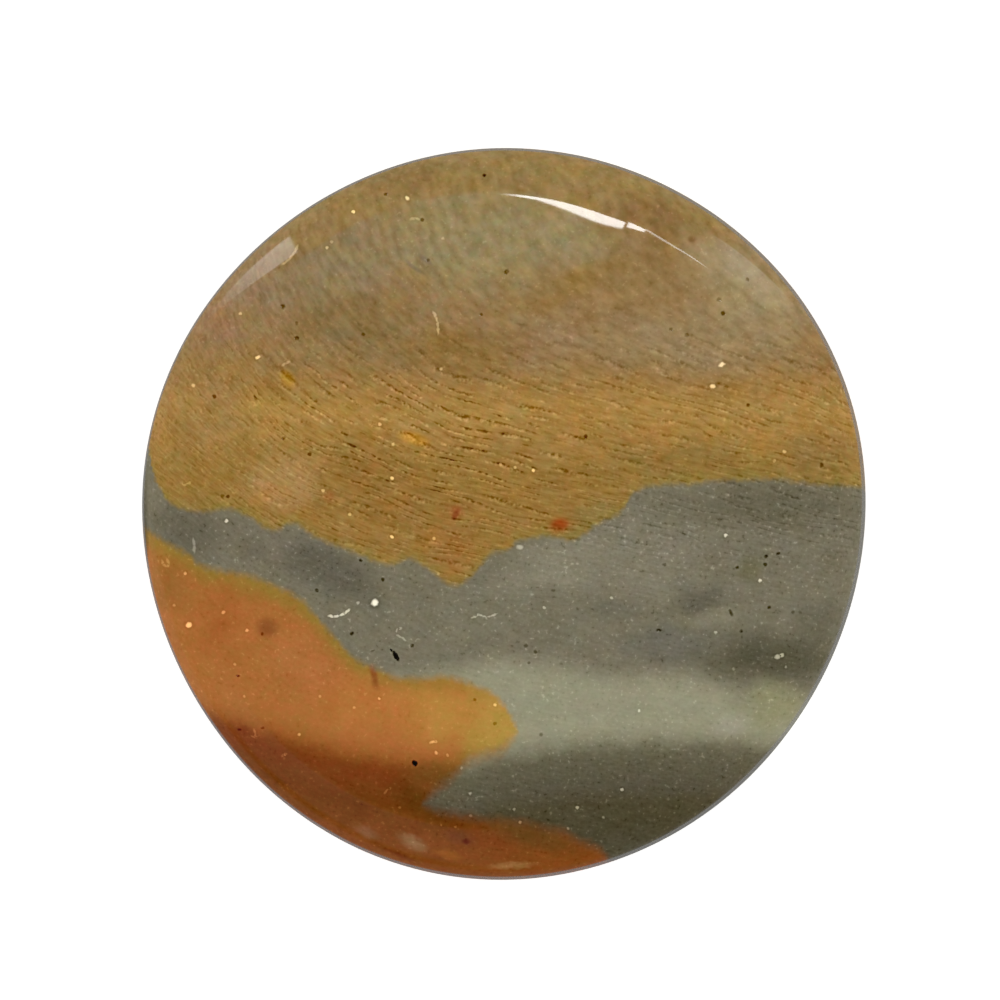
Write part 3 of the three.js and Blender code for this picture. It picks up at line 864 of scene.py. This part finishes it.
    # The larger marks, with edges roughened by the grains. A speck stands in a faint dark ring and a
    # pit in a light one
    chipped = drifted(add, place, *CHIPS)
    middle = add("Attribute", out="Vector", attribute_name="mark_middle")
    offset = add("VectorMath SUBTRACT", (chipped, middle))
    ways = [add("Attribute", out="Vector", attribute_name=name)
            for name in ("mark_long", "mark_wide")]
    reaches = tuple(add("VectorMath DOT_PRODUCT", (offset, way), "Value") for way in ways)
    reach = add("VectorMath LENGTH", (add("CombineXYZ", reaches),), "Value")
    lightness = add("SeparateXYZ", (middle,), "Z")
    marked = add("Math MULTIPLY", (rise(add, reach, *MARK_FADE), lightness))
    ring = add("Math MULTIPLY", (lightness, rise(add, reach, *RING_FADE, -MARK_RING)))

    # Light and dark, kept as one value: clouds, fibres along the sweep and fine grain
    shade = add("Math MULTIPLY", (cloud, CLOUDS))
    layer_grain = add("Mix", {0: ochre_share, 4: GREY_GRAIN, 5: OCHRE_GRAIN}, 1, data_type="VECTOR")
    layer_grain = add("Mix", {0: orange_share, 4: layer_grain, 5: ORANGE_GRAIN}, 1,
                      data_type="VECTOR")
    in_band = add("Math SUBTRACT", (lit, dark))
    in_band = add("MapRange", {"Value": in_band, "To Min": 1.0, "To Max": LIT_GRAIN})
    layer_grain = add("VectorMath SCALE", {0: layer_grain, "Scale": in_band})
    grain = add("Math SUBTRACT", (fine, 0.5))
    for glint in (rise(add, fine, *GLINTS), rise(add, fine, *FINE_PITS)):
        grain = add("Math ADD", (grain, glint))
    fibrous = add("Math SUBTRACT", (fibres, 0.5))
    for part, axis in ((grain, "X"), (fibrous, "Y")):
        amount = add("SeparateXYZ", (layer_grain,), axis)
        shade = add("Math MULTIPLY_ADD", (part, amount, shade))
    for part in (lined, marked, ring):
        shade = add("Math ADD", (shade, part))
    even_step = add("Gamma", {"Color": colour, "Gamma": EVEN_TO_THE_EYE})
    even_step = add("VectorMath SCALE", {0: even_step, "Scale": shade})
    colour = add("VectorMath ADD", (colour, even_step))

    # Warmer and cooler patches, a millimetre or two across, and smaller pink and green ones
    warmth = add("Math MULTIPLY", (warm, add("SeparateXYZ", (layer_grain,), "Z")))
    shift = add("VectorMath SCALE", {0: WARMTH, "Scale": warmth})
    fret = add("VectorMath SUBTRACT", (fretted, place))
    mottle = add("Math MULTIPLY", (add("SeparateXYZ", (fret,), "Z"), FINE_MOTTLE / FRET))
    mottle = add("Math MULTIPLY_ADD", (pink, MOTTLE, mottle))
    off_grey = add("Math MAXIMUM", (ochre_share, orange_share))
    off_grey = add("Math MULTIPLY_ADD", (off_grey, 1 - GREY_MOTTLE, GREY_MOTTLE))
    mottle = add("Math MULTIPLY", (mottle, off_grey))
    mottle = add("VectorMath SCALE", {0: PINKNESS, "Scale": mottle})
    shift = add("VectorMath ADD", (shift, mottle))
    calm = oval_reach(add, {0: place}, *CALM_FIELD, PATTERN_DEPTH)
    calm = add("MapRange", {"Value": rise(add, calm, *CALM_FADE), "To Min": 1.0,
                            "To Max": CALM_MOTTLE})
    shift = add("VectorMath SCALE", {0: shift, "Scale": calm})
    shift = add("VectorMath ADD", (shift, (1, 1, 1)))
    colour = add("VectorMath MULTIPLY", (colour, shift))

    colour = add("VectorMath MAXIMUM", (colour, PIT_BLACK))
    pitted = rise(add, marked, 0.0, DEEP_PIT)
    dented = add("Bump", {"Height": pitted, "Distance": PIT_DEPTH * MM, "Strength": 1.0},
                 invert=True)
    # The back is only ground, so it is matt
    roughness = add("MapRange", {"Value": height, "From Min": 2 * GROUND, "From Max": GROUND,
                                 "To Min": POLISHED_ROUGHNESS, "To Max": GROUND_ROUGHNESS})
    gloss = add("BsdfPrincipled", {"Base Color": colour, "Roughness": roughness, "IOR": QUARTZ_IOR,
                                   "Normal": dented})
    add("OutputMaterial", {"Surface": gloss}, out=None)
    return material


# Studio

def overhead_light():
    """A square soft light right over the stone, which leaves no shine of its own."""
    width, strength = OVERHEAD
    lamp = bpy.data.lights.new("overhead", "AREA")
    lamp.shape = "SQUARE"
    lamp.size = width
    lamp.energy = strength * width ** 2
    light = bpy.data.objects.new("overhead", lamp)
    light.visible_glossy = False
    light.visible_camera = False
    light.location.z = LIGHT_DISTANCE
    bpy.context.collection.objects.link(light)


def window_glow(add, azimuth, polar, middle, upper, lower, span, strength):
    """How bright a window is in one direction: its strength between its four soft edges. The upper
    and lower edges are parabolas over the angle round the stone."""
    turned = add("Math SUBTRACT", (azimuth, middle))
    glow = strength
    for (angle, lean, bow, soft), way in ((upper, 1), (lower, -1)):
        edge = add("Math MULTIPLY_ADD", (turned, bow, lean))
        edge = add("Math MULTIPLY_ADD", (turned, edge, angle))
        inside = add("Math SUBTRACT", (polar, edge))
        glow = add("Math MULTIPLY", (rise(add, inside, 0.0, way * soft), glow))
    for gone, full in (span[:2], span[:1:-1]):
        glow = add("Math MULTIPLY", (rise(add, azimuth, gone, full), glow))
    return glow


def light_up(tree):
    """A tent of even white light for the body colour. What the polish mirrors of it is dark but for
    a few windows, and pale below the table's level, most of all straight down."""
    tree.nodes.clear()
    add = partial(add_node, tree)
    way = add("TexCoord", out="Generated")
    x, y, height = (add("SeparateXYZ", (way,), axis) for axis in "XYZ")
    azimuth = add("Math DEGREES", (add("Math ARCTAN2", (y, x)),))
    polar = add("Math DEGREES", (add("Math ARCCOSINE", (height,)),))
    mirrored = add("Math ADD", (rise(add, height, *MIRRORED_TABLE),
                                rise(add, height, *TABLE_BESIDE)))
    for window in WINDOWS.values():
        glow = window_glow(add, azimuth, polar, *window)
        mirrored = add("Math ADD", (mirrored, glow))
    in_gloss = add("LightPath", out="Is Glossy Ray")
    tent, windows = (add("Background", {"Color": (1, 1, 1, 1), "Strength": strength})
                     for strength in (TENT_STRENGTH, mirrored))
    glow = add("MixShader", (in_gloss, tent, windows))
    add("OutputWorld", {"Surface": glow}, out=None)


def make_floor():
    """A square light table that glows a little, so it stays white beside the stone. It lies a hair
    under the back and is clear from below, so the back can be looked at too."""
    mesh = bpy.data.meshes.new("floor")
    edges = (-FLOOR_HALF, FLOOR_HALF)
    mesh.from_pydata([(x, y, -FLOOR_GAP) for y in edges for x in edges], [], [(0, 1, 3, 2)])
    floor = bpy.data.objects.new("floor", mesh)
    bpy.context.collection.objects.link(floor)
    floor.visible_glossy = False
    material = bpy.data.materials.new("matt_white_diffuser")
    material.use_nodes = True
    material.node_tree.nodes.clear()
    add = partial(add_node, material.node_tree)
    diffuser = add("BsdfPrincipled", {"Base Color": linear(FLOOR_COLOUR), "Roughness": 0.9,
                                      "Specular IOR Level": 0.0, "Emission Color": (1, 1, 1, 1),
                                      "Emission Strength": FLOOR_GLOW})
    surface = add("MixShader", (add("NewGeometry", out="Backfacing"), diffuser,
                                add("BsdfTransparent")))
    add("OutputMaterial", {"Surface": surface}, out=None)
    mesh.materials.append(material)


stone = make_stone()
stone.data.materials.append(jasper())
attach(stone, "root")
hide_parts("cabochon")

make_floor()
overhead_light()

world = bpy.data.worlds.new("studio_tent")
world.use_nodes = True
light_up(world.node_tree)

scene = bpy.context.scene
scene.world = world
scene.view_settings.view_transform = "Standard"

lens = bpy.data.cameras.new("camera")
lens.sensor_width = SENSOR_WIDTH
lens.lens = SENSOR_WIDTH * CAMERA_DISTANCE / VIEW_WIDTH
camera = bpy.data.objects.new("camera", lens)
camera.location = (*VIEW_MIDDLE, CAMERA_DISTANCE + VIEW_PLANE)
bpy.context.collection.objects.link(camera)
scene.camera = camera
